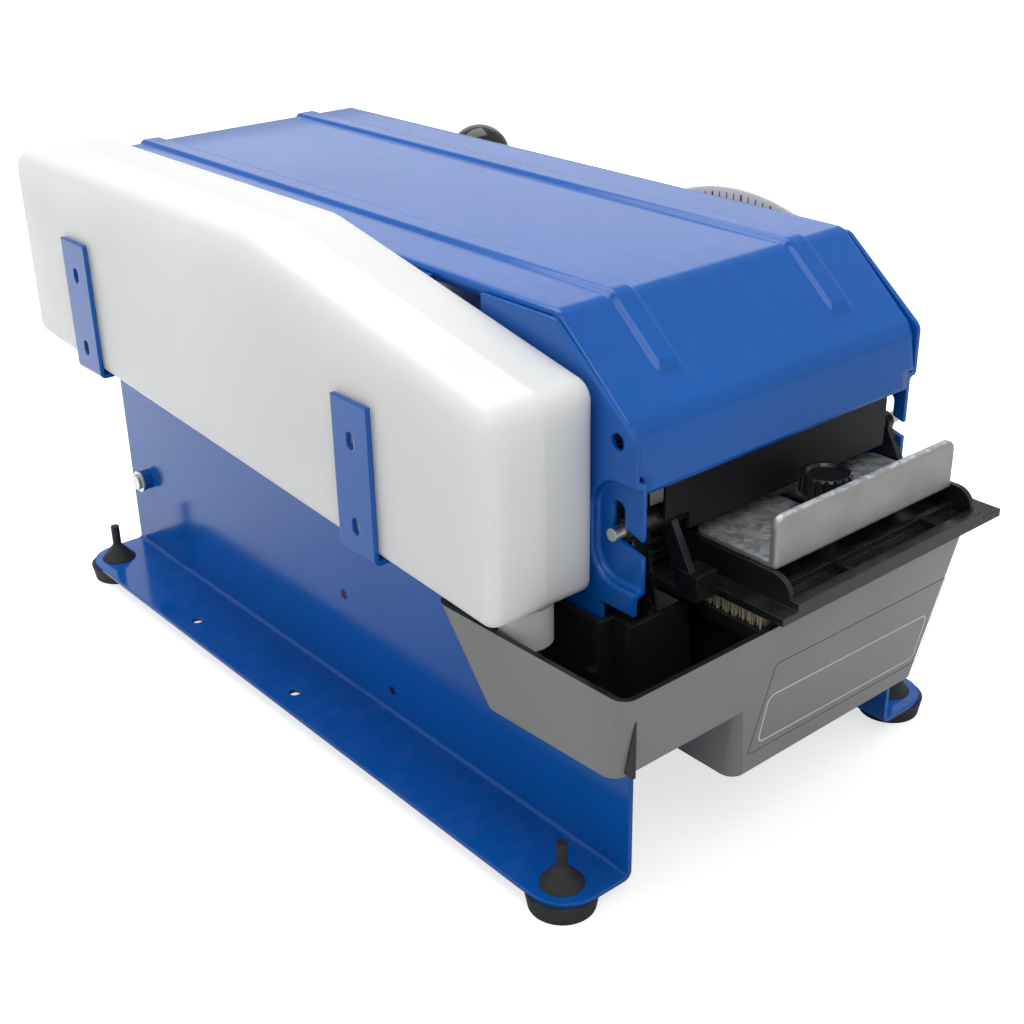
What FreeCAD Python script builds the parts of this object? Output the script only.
import FreeCAD, Part
import Sketcher
import math
import os
from types import SimpleNamespace

# Hand-lever dispenser for water-activated (gummed) paper tape.
# Seen from the front, +X is to the right, +Y to the rear and +Z is up. The floor is z = 0.
# Places along Y are given from the front edge of the side plates, and along X from the
# middle between them. Lengths are in millimetres and angles in degrees.

SIZES = {
    # Whole machine
    "side_room": 56.9,
    "front_reach": 42.5,
    "plate_length": 440,
    "frame_width": 181.2,
    "sheet": 2.2,
    "touch_gap": 0.3,
    "fit_gap": 0.05,
    "overrun": 6,
    # Side plates
    "flange_width": 39,
    "flange_top": 11,
    "flange_corner": 18,
    "bend_radius": 2,
    "plate_top": 252.6,
    "plate_corner": 6,
    "plate_front_above_hole": 2.1,
    "right_front_inset": 4,
    "plate_bend_y": 46.5,
    "notch_bottom": 92.7,
    "notch_above_rim": 7,
    "notch_depth": 18.5,
    "window_y": 91,
    "window_length": 34,
    "window_bottom": 237,
    "dish_depth": 4.2,
    "dish_rear": 24.5,
    "dish_below_pin": 21.5,
    "dish_above_slot": 13,
    "dish_corner": 14,
    "dish_edge_round": 1.9,
    "slot_above_pin": 10.1,
    "slot_half_width": 3.4,
    "slot_leg_drop": 3.6,
    "front_hole_y": 10.3,
    "front_hole_above_dish": 17.7,
    "front_hole_radius": 3.6,
    "bench_hole_radius": 3,
    "bench_hole_from_plate": 27.4,
    "bench_hole_front_y": 221,
    "bench_hole_pitch": 101,
    # Rubber feet
    "foot_inset_x": 24,
    "foot_inset_y": 16,
    "foot_radius": 16.75,
    "foot_base_radius": 15.2,
    "foot_neck_radius": 4,
    "foot_cone_radius": 10,
    "foot_cone_height": 9,
    "foot_tail_radius": 2.5,
    "foot_tail_height": 12,
    # Tie rods, screws and the cover's hinge
    "tie_radius": 5,
    "screw_radius": 2.4,
    "screw_head_radius": 4.6,
    "screw_head_height": 2.1,
    "washer_radius": 6.6,
    "washer_thickness": 1.2,
    "front_tie_y": 171,
    "front_tie_z": 24,
    "rear_tie_inset": 20,
    "rear_tie_z": 58,
    "rear_spacer_radius": 6,
    "rear_spacer_length": 5,
    "hinge_inset": 11,
    "hinge_z": 243,
    "hinge_radius": 3,
    # Top cover
    "cover_gap": 0.5,
    "cover_sheet": 1.6,
    "cover_top": 254.9,
    "cover_bend_y": 48,
    "cover_slope_y": 6,
    "cover_front_height": 27.3,
    "cover_lip_y": 2,
    "cover_lip_above_pin": 19.1,
    "cover_rear_inset": 2,
    "cover_skirt": 26,
    "cover_side_depth": 5,
    "rib_inside": 35.4,
    "rib_width": 14,
    "rib_rise": 2,
    "rib_end_share": 0.72,
    "hinge_ear_width": 8,
    "hinge_ear_radius": 6.5,
    # Water bottle, its valve and brackets
    "bracket_width": 25,
    "bracket_front_y": 95,
    "bracket_rear_y": 338,
    "bracket_front_rise": 69,
    "bracket_rear_rise": 69,
    "bracket_drop": 26,
    "bracket_screw_low_share": 0.25,
    "bracket_screw_high_share": 0.6,
    "bracket_slot_half_width": 2.5,
    "bracket_slot_length": 8,
    "bracket_slot_low": 13,
    "bracket_slot_pitch": 39,
    "bottle_front_y": 21,
    "bottle_rear_y": 416,
    "bottle_above_rim": 10,
    "bottle_rise": 25,
    "bottle_nose_height": 91,
    "bottle_bend_y": 186,
    "bottle_top": 268.5,
    "bottle_round": 5.5,
    "bottle_nose_round": 6,
    "valve_from_plate": 25.4,
    "valve_y": 36,
    "bottle_neck_radius": 9.5,
    "valve_radius": 11.5,
    "valve_length": 19,
    "valve_pin_radius": 2,
    # Water tank
    "tank_wall": 2.6,
    "tank_rim": 133,
    "well_left_inside": 30.4,
    "well_right_inside": 3.4,
    "well_front": 35.5,
    "well_rear": 25,
    "well_bottom": 52,
    "well_left_draft": 9,
    "well_right_draft": 5,
    "well_front_draft": 15.5,
    "well_rear_draft": 5,
    "tray_front_from_plate": 39.4,
    "tray_rear_from_plate": 42.4,
    "tray_rear": 75,
    "tray_draft": 3,
    "tray_rear_draft": 26,
    "tray_inner_rear": 6,
    "tank_plate_gap": 1.8,
    "tank_slot_gap": 1.5,
    "tray_stud_radius": 2.6,
    "tray_stud_height": 9,
    "tray_stud_from_plate": 20.4,
    "tray_stud_front_y": 2,
    "tray_stud_pitch": 22,
    "tank_rest_width": 12,
    "tank_rest_length": 20,
    "tank_rest_drop": 10,
    # Brush
    "brush_left_inside": 40.9,
    "brush_right_inside": 17.4,
    "brush_front": 29.5,
    "brush_rear": 3,
    "brush_holder_top": 130,
    "brush_flange": 6,
    "brush_holder_inset": 12.5,
    # Hold-down plate with its pin
    "pin_y": 13.2,
    "pin_above_hold": 33.6,
    "pin_radius": 2.8,
    "pin_inset": 0.2,
    "hold_above_rim": 5,
    "hold_floor": 3.5,
    "hold_left_inside": 38.4,
    "hold_right_inside": 4.9,
    "hold_front_from_plate": 7.4,
    "hold_front_step": 3,
    "hold_rear": 19,
    "hold_band_width": 17,
    "hold_band_height": 7,
    "hold_band_wall": 2.6,
    "hold_first_bay_share": 0.3,
    "hold_second_bay_share": 0.8,
    "hold_wall": 2.5,
    "hold_wall_left_inside": 47.4,
    "hold_wall_right_inside": 7.4,
    "hold_wall_height": 15.7,
    "hold_wall_front": 38,
    "hold_wall_round": 9,
    "hold_boss_radius": 8,
    "hold_post_width": 12,
    "hold_post_front": 7,
    "hold_post_rear": 4,
    "hold_post_height": 12,
    "hold_ledge_rear": 15.5,
    "hold_arm_width": 3.5,
    "hold_arm_half_height": 3.2,
    "hold_hub_radius": 4.7,
    "hold_arm_left_inside": 27.4,
    # Weight plate and thumb knob
    "weight_left_inside": 49.4,
    "weight_right_inside": 9.4,
    "weight_front": 28,
    "weight_rear": 17,
    "weight_sheet": 2.4,
    "weight_bar_depth": 4.3,
    "weight_bar_height": 22.4,
    "weight_round": 5,
    "weight_edge_round": 1.5,
    "weight_slot_half_width": 3.6,
    "weight_slot_front": 14.5,
    "weight_slot_rear": 13,
    "knob_x": 15,
    "knob_y": 8,
    "knob_stud_radius": 3,
    "knob_neck_radius": 6.5,
    "knob_neck_height": 7.8,
    "knob_radius": 11.3,
    "knob_head_height": 9.5,
    "knob_dish_depth": 1.2,
    "knob_dish_radius": 8.6,
    "knob_flute_radius": 1,
    # Cutter
    "guard_y": 6.5,
    "guard_sheet": 1.5,
    "guard_left_inside": 21.4,
    "guard_right_inside": 14.4,
    "guard_above_weight": 8.1,
    "guard_above_pin": 20.4,
    "guard_notch_inside": 35.4,
    "guard_notch_above_pin": 1,
    "cutter_bar_y": 31.8,
    "cutter_bar_depth": 9.2,
    "cutter_bar_height": 28.5,
    "blade_sheet": 2,
    "blade_inside": 36.4,
    "blade_gap": 0.3,
    "fixed_blade_bottom": 148,
    "fixed_blade_seat": 14,
    "moving_blade_bottom": 114,
    "moving_blade_top": 145,
    "blade_shear": 3,
    "carrier_bottom": 112,
    "carrier_top": 126,
    "carrier_depth": 9.5,
    "carrier_inside": 18.4,
    "post_inside": 26.4,
    "post_y": 35,
    "post_radius": 3,
    "bed_bottom": 83,
    "bed_top": 92,
    "spring_wire_radius": 0.6,
    "spring_coil_radius": 4.6,
    # Feed and pressure rollers
    "lever_y": 126,
    "lever_z": 142,
    "first_mesh_angle": 234.8,
    "second_mesh_angle": 100.2,
    "tooth_size": 1.5,
    "pressure_angle": 25,
    "tooth_backlash": 0.16,
    "tooth_root_share": 1.25,
    "feed_shaft_radius": 5,
    "feed_roller_radius": 25,
    "feed_roller_half_width": 42,
    "feed_tyre_thickness": 4,
    "shaft_overhang": 3,
    "bush_wall": 3,
    "bush_flange_radius": 11.5,
    "bush_flange": 3,
    "pressure_roller_radius": 11,
    "pressure_half_width": 42,
    "pressure_axle_radius": 4,
    "pressure_pivot_y": 112,
    "pressure_pivot_z": 172,
    "pressure_pivot_radius": 3,
    "pressure_arm_x": 45,
    "pressure_arm_width": 4,
    "pressure_arm_radius": 7.5,
    "pressure_bridge_radius": 3,
    "chute_y": 46,
    "chute_length": 16,
    "chute_z": 143,
    "chute_sheet": 1.5,
    # Lever and gears
    "gear_width": 6,
    "sector_from_plate": 2.4,
    "idler_gear_inside": 11.4,
    "idler_shaft_radius": 4,
    "lever_shaft_radius": 6,
    "lever_shaft_inside": 30.4,
    "lever_bush_radius": 11,
    "lever_bush_flange_radius": 18,
    "lever_bush_inside": 26.4,
    "lever_bush_flange": 4,
    "sector_hub_radius": 16,
    "sector_span_angle": 122,
    "sector_lead_angle": 10,
    "gear_cover_front_y": 58,
    "gear_cover_rear_y": 190,
    "gear_cover_bottom": 70,
    "gear_cover_top": 206,
    "gear_cover_depth": 12.6,
    "gear_cover_wall": 2,
    "gear_cover_round": 16,
    "dial_radius": 113,
    "dial_inner_radius": 26,
    "dial_sheet": 1.5,
    "dial_low_angle": 8,
    "dial_span_angle": 126,
    "lever_from_plate": 16.4,
    "lever_sheet": 5,
    "lever_length": 250,
    "lever_angle": 20.6,
    "lever_hub_radius": 17,
    "lever_half_width": 12,
    "lever_tip_share": 0.75,
    "lever_nut_radius": 9,
    "lever_nut_height": 5,
    "lever_knob_radius": 19,
    "lever_knob_neck": 1.5,
    "lever_knob_stud_radius": 4,
    # Roll basket, rollers and tape guides
    "guide_rod_radius": 4,
    "guide_rod_front_y": 209.6,
    "guide_rod_rear_y": 405,
    "guide_rod_z": 64,
    "basket_inside": 12.4,
    "basket_sheet": 1.5,
    "basket_bottom": 30,
    "basket_top": 76,
    "basket_margin": 9,
    "support_roller_radius": 12,
    "support_roller_spread": 65,
    "support_axle_radius": 4,
    "support_axle_z": 50,
    "guide_x": 42,
    "guide_sheet": 1.5,
    "guide_bottom": 74,
    "guide_top": 172,
    "guide_boss_radius": 8,
    "guide_boss_length": 12,
    "guide_hole_radius": 22,
}

TEETH = {"sector": 76, "idler_pinion": 12, "idler_gear": 30, "feed_pinion": 15}
KNOB_FLUTES = 18
SPRING_COILS = 6
FLANK_POINTS = 5


class Size:
    """A value together with the formula that keeps it tied to the sheet."""

    def __init__(self, value, formula=None):
        self.value = value
        self.formula = formula if formula else repr(value)

    def __add__(self, other):
        other = as_size(other)
        return Size(self.value + other.value, f"({self.formula} + {other.formula})")

    def __sub__(self, other):
        other = as_size(other)
        return Size(self.value - other.value, f"({self.formula} - {other.formula})")

    def __mul__(self, other):
        other = as_size(other)
        return Size(self.value * other.value, f"({self.formula} * {other.formula})")

    def __truediv__(self, other):
        other = as_size(other)
        return Size(self.value / other.value, f"({self.formula} / {other.formula})")

    def __neg__(self):
        return Size(-self.value, f"(0 - {self.formula})")

    def __radd__(self, other):
        return as_size(other) + self

    def __rsub__(self, other):
        return as_size(other) - self

    def __rmul__(self, other):
        return as_size(other) * self


def as_size(value):
    return value if isinstance(value, Size) else Size(value)


def cos_of(angle):
    return Size(math.cos(math.radians(angle.value)), f"cos({angle.formula})")


def sin_of(angle):
    return Size(math.sin(math.radians(angle.value)), f"sin({angle.formula})")


doc = FreeCAD.newDocument("tape_dispenser")
sheet = doc.addObject("Spreadsheet::Sheet", "sizes")
for row, (alias, number) in enumerate(SIZES.items(), start=1):
    sheet.set(f"A{row}", alias)
    sheet.set(f"B{row}", str(number))
    sheet.setAlias(f"B{row}", alias)
doc.recompute()

s = SimpleNamespace(**{alias: Size(number, f"sizes.{alias}") for alias, number in SIZES.items()})
parts = []

# The origin is in the middle of the outline on the floor, so every Y is moved by this
front_edge = (s.front_reach - s.plate_length) / 2
outer_x = s.frame_width / 2
inner_x = outer_x - s.sheet
flange_bottom = s.flange_top - s.sheet
inner_width = inner_x * 2


def bind(item, place, size):
    """Tie one property of an object to the sheet."""
    size = as_size(size)
    if "sizes." in size.formula:
        item.setExpression(place, size.formula)


def place(item, x=0, y=0, z=0):
    """Put an object at a place given from the side plates' front edge."""
    bind(item, "Placement.Base.x", x)
    bind(item, "Placement.Base.y", front_edge + y)
    bind(item, "Placement.Base.z", z)
    return item


def keep(item, label):
    """Hand an object over as one sub-part."""
    item.Label = label
    parts.append(item)
    return item


def block(x, y, z):
    """A box between two places on each axis."""
    item = doc.addObject("Part::Box", "Block")
    bind(item, "Length", x[1] - x[0])
    bind(item, "Width", y[1] - y[0])
    bind(item, "Height", z[1] - z[0])
    return place(item, x[0], y[0], z[0])


def rod(along, radius, start, length, x=0, y=0, z=0):
    """A cylinder along X or Z that starts at a place on its own axis."""
    item = doc.addObject("Part::Cylinder", "Rod")
    bind(item, "Radius", radius)
    bind(item, "Height", length)
    if along == "X":
        item.Placement.Rotation = FreeCAD.Rotation(FreeCAD.Vector(0, 1, 0), 90)
        return place(item, start, y, z)
    return place(item, x, y, start)


def joined(*items):
    item = doc.addObject("Part::MultiFuse", "Joined")
    item.Shapes = list(items)
    return item


def grouped(*items):
    item = doc.addObject("Part::Compound", "Group")
    item.Links = list(items)
    return item


def cut(base, *tools):
    item = doc.addObject("Part::Cut", "Cut")
    item.Base = base
    item.Tool = tools[0] if len(tools) == 1 else joined(*tools)
    return item


def new_body():
    return doc.addObject("PartDesign::Body", "Body")


def sketch_on(body, plane, lift=0):
    """A sketch on one of the body's own planes, moved along that plane's normal."""
    drawing = body.newObject("Sketcher::SketchObject", "Outline")
    support = [item for item in body.Origin.OriginFeatures if item.Role == plane][0]
    drawing.AttachmentSupport = [(support, "")]
    drawing.MapMode = "FlatFace"
    bind(drawing, "AttachmentOffset.Base.z", lift)
    return drawing


def hold_point(drawing, curve, point, across, up):
    for kind, size in (("DistanceX", as_size(across)), ("DistanceY", as_size(up))):
        rule = Sketcher.Constraint(kind, -1, 1, curve, point, size.value)
        index = drawing.addConstraint(rule)
        bind(drawing, f"Constraints[{index}]", size)


def polygon(drawing, points):
    """A closed outline through places held by the sheet."""
    corners = [(as_size(across), as_size(up)) for across, up in points]
    vectors = [FreeCAD.Vector(across.value, up.value, 0) for across, up in corners]
    first = drawing.GeometryCount
    count = len(corners)
    for index in range(count):
        drawing.addGeometry(Part.LineSegment(vectors[index], vectors[(index + 1) % count]))
    for index in range(count):
        follower = first + (index + 1) % count
        drawing.addConstraint(Sketcher.Constraint("Coincident", first + index, 2, follower, 1))
    for index, (across, up) in enumerate(corners):
        hold_point(drawing, first + index, 1, across, up)


def circle(drawing, across, up, radius):
    across, up = as_size(across), as_size(up)
    centre = FreeCAD.Vector(across.value, up.value, 0)
    curve = drawing.addGeometry(Part.Circle(centre, FreeCAD.Vector(0, 0, 1), radius.value))
    hold_point(drawing, curve, 3, across, up)
    index = drawing.addConstraint(Sketcher.Constraint("Radius", curve, radius.value))
    bind(drawing, f"Constraints[{index}]", radius)


def extrude(body, drawing, length, kind="Pad", midplane=False, reverse=False):
    feature = body.newObject(f"PartDesign::{kind}", kind)
    feature.Profile = drawing
    bind(feature, "Length", length)
    feature.Midplane = midplane
    feature.Reversed = reverse
    return feature


def slab(body, plane, points, start, thickness):
    """Add a plate of even thickness that starts at a place on the plane's normal."""
    drawing = sketch_on(body, plane, start)
    polygon(drawing, points)
    return extrude(body, drawing, thickness)


def pocket_through(body, plane, draw, start, depth):
    """Cut what draw() puts in a sketch, from start and along the plane's normal."""
    drawing = sketch_on(body, plane, start)
    draw(drawing)
    return extrude(body, drawing, depth, "Pocket", reverse=True)


def near(first, second):
    return math.isclose(first, second, abs_tol=as_size(s.fit_gap).value)


def round_edges(body, chosen, radius):
    """Round the edges of the body so far for which chosen(edge) is true."""
    doc.recompute()
    tip = body.Tip
    names = [f"Edge{n}" for n, edge in enumerate(tip.Shape.Edges, start=1) if chosen(edge)]
    feature = body.newObject("PartDesign::Fillet", "Rounding")
    feature.Base = (tip, names)
    bind(feature, "Radius", radius)
    return feature


def along_axis(edge, axis):
    """True for a straight edge that runs along one axis."""
    if edge.Curve.TypeId != "Part::GeomLine":
        return False
    step = edge.Vertexes[1].Point - edge.Vertexes[0].Point
    return math.isclose(abs(step[axis]), edge.Length, rel_tol=1e-6)


def corner_edges(axis, corners):
    """Chooser for edges along one axis that pass through given places on the other two."""
    others = [index for index in range(3) if index != axis]

    def chosen(edge):
        if not along_axis(edge, axis):
            return False
        point = edge.Vertexes[0].Point
        return any(
            near(point[others[0]], as_size(first).value)
            and near(point[others[1]], as_size(second).value)
            for first, second in corners
        )

    return chosen


def turned(points, along, x=0, y=0, z=0):
    """A body of revolution; points are (place along the axis, radius)."""
    body = new_body()
    if along == "X":
        drawing = sketch_on(body, "XY_Plane")
        polygon(drawing, points)
    else:
        drawing = sketch_on(body, "XZ_Plane")
        polygon(drawing, [(radius, height) for height, radius in points])
    feature = body.newObject("PartDesign::Revolution", "Turned")
    feature.Profile = drawing
    feature.ReferenceAxis = (drawing, ["H_Axis" if along == "X" else "V_Axis"])
    feature.Angle = 360
    return place(body, x, y, z)


def yz(points):
    """Points given from the plates' front edge, moved into the part's frame."""
    return [(front_edge + y, z) for y, z in points]


def xy(points):
    return [(x, front_edge + y) for x, y in points]


def root_of(size):
    return Size(math.sqrt(size.value), f"sqrt({size.formula})")


def inset(points, distance):
    """Move an open line of points sideways, to the left of its direction of travel."""
    points = [(as_size(y), as_size(z)) for y, z in points]
    normals = []
    for (y0, z0), (y1, z1) in zip(points, points[1:]):
        reach = root_of((y1 - y0) * (y1 - y0) + (z1 - z0) * (z1 - z0))
        normals.append(((z0 - z1) / reach, (y1 - y0) / reach))
    moved = []
    for index, (y, z) in enumerate(points):
        before = normals[max(index - 1, 0)]
        after = normals[min(index, len(normals) - 1)]
        spread = 1 + before[0] * after[0] + before[1] * after[1]
        moved.append((
            y + (before[0] + after[0]) * distance / spread,
            z + (before[1] + after[1]) * distance / spread,
        ))
    return moved


def outward(side, low, high):
    """A pair of places on X for one side, given from the middle; side is 1 or -1."""
    return (low, high) if side > 0 else (-high, -low)


def mirrored(side, x):
    return x if side > 0 else -x


# Places on X, given from the outer or the inner faces of the side plates
side_reach = outer_x + s.side_room
bench_hole_x = outer_x + s.bench_hole_from_plate
valve_x = outer_x + s.valve_from_plate
tray_left_front = outer_x + s.tray_front_from_plate
tray_left_rear = outer_x + s.tray_rear_from_plate
tray_stud_x = outer_x + s.tray_stud_from_plate
sector_x = outer_x + s.sector_from_plate
lever_x = outer_x + s.lever_from_plate
hold_front_right = outer_x + s.hold_front_from_plate
well_left = inner_x - s.well_left_inside
well_right = inner_x - s.well_right_inside
brush_left = inner_x - s.brush_left_inside
brush_right = inner_x - s.brush_right_inside
hold_left = inner_x - s.hold_left_inside
hold_right = inner_x - s.hold_right_inside
hold_wall_left = inner_x - s.hold_wall_left_inside
hold_wall_right = inner_x - s.hold_wall_right_inside
hold_arm_left = inner_x - s.hold_arm_left_inside
hold_arm_right = hold_wall_right + s.hold_wall - s.hold_arm_width
weight_left = inner_x - s.weight_left_inside
weight_right = inner_x - s.weight_right_inside
guard_left = inner_x - s.guard_left_inside
guard_right = inner_x - s.guard_right_inside
guard_notch = inner_x - s.guard_notch_inside
blade_half_width = inner_x - s.blade_inside
carrier_half_width = inner_x - s.carrier_inside
post_x = inner_x - s.post_inside
idler_gear_x = inner_x - s.idler_gear_inside
lever_shaft_inner_x = inner_x - s.lever_shaft_inside
lever_bush_inner_x = inner_x - s.lever_bush_inside
basket_half_width = inner_x - s.basket_inside
rib_x = inner_x - s.rib_inside

# Heights that follow the tank's rim, so the pieces over it stay clear of it
hold_bottom = s.tank_rim + s.hold_above_rim
bottle_front_low = s.tank_rim + s.bottle_above_rim
notch_top = s.tank_rim + s.notch_above_rim
hold_band_top = hold_bottom + s.hold_band_height
hold_wall_top = hold_bottom + s.hold_wall_height
hold_post_top = hold_bottom + s.hold_post_height
pin_z = hold_bottom + s.pin_above_hold
dish_bottom = pin_z - s.dish_below_pin
slot_top = pin_z + s.slot_above_pin
dish_top = slot_top + s.dish_above_slot
front_hole_z = dish_top + s.front_hole_above_dish
plate_front_top = front_hole_z + s.plate_front_above_hole
cover_lip_z = pin_z + s.cover_lip_above_pin
cover_slope_z = cover_lip_z + s.cover_front_height
guard_top = pin_z + s.guard_above_pin
bottle_rear_low = bottle_front_low + s.bottle_rise
bottle_front_high = bottle_front_low + s.bottle_nose_height
tray_bottom = s.notch_bottom + s.touch_gap

# Places that several pieces share
feed_bore = s.feed_shaft_radius + s.fit_gap
feed_bush_radius = feed_bore + s.bush_wall
idler_bore = s.idler_shaft_radius + s.fit_gap
idler_bush_radius = idler_bore + s.bush_wall
lever_bore = s.lever_shaft_radius + s.fit_gap
first_distance = s.tooth_size * (TEETH["sector"] + TEETH["idler_pinion"]) / 2
second_distance = s.tooth_size * (TEETH["idler_gear"] + TEETH["feed_pinion"]) / 2
idler_y = s.lever_y + first_distance * cos_of(s.first_mesh_angle)
idler_z = s.lever_z + first_distance * sin_of(s.first_mesh_angle)
feed_y = idler_y + second_distance * cos_of(s.second_mesh_angle)
feed_z = idler_z + second_distance * sin_of(s.second_mesh_angle)
pressure_z = feed_z + s.feed_roller_radius + s.touch_gap + s.pressure_roller_radius
rear_tie_y = s.plate_length - s.rear_tie_inset
hinge_y = s.plate_length - s.hinge_inset
foot_y = (s.foot_inset_y, s.plate_length - s.foot_inset_y)
foot_x = outer_x + s.foot_inset_x
bench_y = (s.bench_hole_front_y, s.bench_hole_front_y + s.bench_hole_pitch)
screw_hole = s.screw_radius + s.fit_gap
cutter_bar_top = guard_top - s.guard_sheet
cutter_bar_bottom = cutter_bar_top - s.cutter_bar_height
fixed_blade_top = cutter_bar_bottom + s.fixed_blade_seat
cutter_bar_middle_z = (cutter_bar_bottom + cutter_bar_top) / 2
cutter_bar_middle_y = s.cutter_bar_y + s.cutter_bar_depth / 2
bed_middle_z = (s.bed_bottom + s.bed_top) / 2
bracket_places = {
    "front": (s.bracket_front_y, s.bracket_front_rise),
    "rear": (s.bracket_rear_y, s.bracket_rear_rise),
}
bottle_slope = (bottle_rear_low - bottle_front_low) / (s.bottle_rear_y - s.bottle_front_y)
bottle_outer = side_reach - s.sheet - s.touch_gap
bottle_inner = outer_x + s.sheet + s.touch_gap


def bracket_floor(y):
    """Top of a bracket's floor, just under the sloping bottom of the bottle."""
    return bottle_front_low + bottle_slope * (y - s.bottle_front_y) - s.touch_gap


def bracket_screws(y):
    """Places of the two screws of the bracket that starts at y."""
    middle = y + s.bracket_width / 2
    shares = (s.bracket_screw_low_share, s.bracket_screw_high_share)
    return [(middle, bracket_floor(y) + s.bracket_drop * share) for share in shares]


def dish_outline(plane_x):
    """Chooser for the pressed dish's edges in one plane across X."""
    low = dish_bottom - s.sheet * 2
    high = dish_top + s.sheet * 2
    rear = front_edge + s.dish_rear + s.sheet * 2

    def chosen(edge):
        box = edge.BoundBox
        flat = near(box.XLength, 0) and near(box.XMin, plane_x.value)
        inside = box.ZMin > low.value and box.ZMax < high.value and box.YMax < rear.value
        along_front = near(box.YLength, 0) and box.YMax < (front_edge + s.dish_corner / 2).value
        return flat and inside and not along_front

    return chosen


# Side plates, each bent outward into a foot flange
def side_plate(label, side):
    body = new_body()
    length = s.plate_length
    top_slope = (s.plate_top - plate_front_top) / s.plate_bend_y
    nose_y = s.right_front_inset if side > 0 else as_size(0)
    nose_top = plate_front_top + top_slope * nose_y
    profile = [
        (0, flange_bottom),
        (length, flange_bottom),
        (length, s.plate_top),
        (s.window_y + s.window_length, s.plate_top),
        (s.window_y + s.window_length, s.window_bottom),
        (s.window_y, s.window_bottom),
        (s.window_y, s.plate_top),
        (s.plate_bend_y, s.plate_top),
        (nose_y, nose_top),
        (nose_y, notch_top),
        (s.notch_depth, notch_top),
        (s.notch_depth, s.notch_bottom),
        (0, s.notch_bottom),
    ]
    slab(body, "YZ_Plane", yz(profile), outward(side, inner_x, outer_x)[0], s.sheet)
    flange = [(0, flange_bottom), (length, flange_bottom), (length, s.flange_top), (0, s.flange_top)]
    flange_ends = outward(side, inner_x, outer_x + s.flange_width)
    slab(body, "YZ_Plane", yz(flange), flange_ends[0], s.flange_width + s.sheet)
    bulge = [
        (nose_y, dish_bottom - s.sheet),
        (s.dish_rear + s.sheet, dish_bottom - s.sheet),
        (s.dish_rear + s.sheet, dish_top + s.sheet),
        (nose_y, dish_top + s.sheet),
    ]
    bulge_ends = outward(side, inner_x - s.dish_depth, inner_x)
    slab(body, "YZ_Plane", yz(bulge), bulge_ends[0], s.dish_depth)
    dish_ends = outward(side, outer_x - s.dish_depth, outer_x)
    hollow = [
        (-s.overrun, dish_bottom),
        (s.dish_rear, dish_bottom),
        (s.dish_rear, dish_top),
        (-s.overrun, dish_top),
    ]
    pocket_through(
        body, "YZ_Plane", lambda drawing: polygon(drawing, yz(hollow)), dish_ends[0], s.dish_depth
    )

    rear = s.dish_rear
    back = s.dish_rear + s.sheet
    round_edges(body, corner_edges(0, [
        (front_edge + rear, dish_bottom),
        (front_edge + rear, dish_top),
        (front_edge + back, dish_bottom - s.sheet),
        (front_edge + back, dish_top + s.sheet),
    ]), s.dish_corner)
    for plane_x in (outer_x, outer_x - s.dish_depth, inner_x, inner_x - s.dish_depth):
        round_edges(body, dish_outline(mirrored(side, plane_x)), s.dish_edge_round)

    deep = outward(side, inner_x - s.dish_depth - s.overrun, outer_x + s.overrun)[0]
    depth = s.sheet + s.dish_depth + s.overrun * 2
    leg_drop = s.slot_leg_drop * (s.pin_y + s.overrun) / s.pin_y
    slot_leg = [
        (-s.overrun, pin_z - s.slot_half_width - leg_drop),
        (s.pin_y, pin_z - s.slot_half_width),
        (s.pin_y + s.slot_half_width, pin_z),
        (s.pin_y + s.slot_half_width, slot_top),
        (s.pin_y - s.slot_half_width, slot_top),
        (s.pin_y - s.slot_half_width, pin_z + s.slot_half_width),
        (-s.overrun, pin_z + s.slot_half_width - leg_drop),
    ]
    pocket_through(
        body, "YZ_Plane", lambda drawing: polygon(drawing, yz(slot_leg)), deep, depth
    )
    for round_z in (pin_z, slot_top):
        pocket_through(body, "YZ_Plane", lambda drawing: circle(
            drawing, front_edge + s.pin_y, round_z, s.slot_half_width), deep, depth)

    holes = [
        (s.front_hole_y, front_hole_z, s.front_hole_radius),
        (s.front_tie_y, s.front_tie_z, screw_hole),
        (rear_tie_y, s.rear_tie_z, screw_hole),
        (s.guide_rod_front_y, s.guide_rod_z, screw_hole),
        (s.guide_rod_rear_y, s.guide_rod_z, screw_hole),
        (cutter_bar_middle_y, cutter_bar_middle_z, screw_hole),
        (cutter_bar_middle_y, bed_middle_z, screw_hole),
        (feed_y, feed_z, feed_bush_radius + s.fit_gap),
        (s.pressure_pivot_y, s.pressure_pivot_z, s.pressure_pivot_radius + s.fit_gap),
        (hinge_y, s.hinge_z, s.hinge_radius + s.fit_gap),
    ]
    if side > 0:
        holes += [
            (idler_y, idler_z, idler_bush_radius + s.fit_gap),
            (s.lever_y, s.lever_z, s.lever_bush_radius + s.fit_gap),
        ]
        holes += [(y, z, screw_hole) for y, z in gear_cover_screws()]
        holes += [(s.tank_rest_length / 2, tank_rest_screw_z, screw_hole)]
    else:
        for y, rise in bracket_places.values():
            holes += [(place_y, place_z, screw_hole) for place_y, place_z in bracket_screws(y)]
    wall_ends = outward(side, inner_x - s.overrun, outer_x + s.overrun)

    def draw_holes(drawing):
        for y, z, radius in holes:
            circle(drawing, front_edge + y, z, radius)

    pocket_through(body, "YZ_Plane", draw_holes, wall_ends[0], s.sheet + s.overrun * 2)

    def draw_floor_holes(drawing):
        for y in bench_y:
            circle(drawing, mirrored(side, bench_hole_x), front_edge + y, s.bench_hole_radius)
        for y in foot_y:
            circle(drawing, mirrored(side, foot_x), front_edge + y, s.foot_neck_radius + s.fit_gap)

    pocket_through(body, "XY_Plane", draw_floor_holes, 0, s.flange_top + s.overrun)

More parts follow.
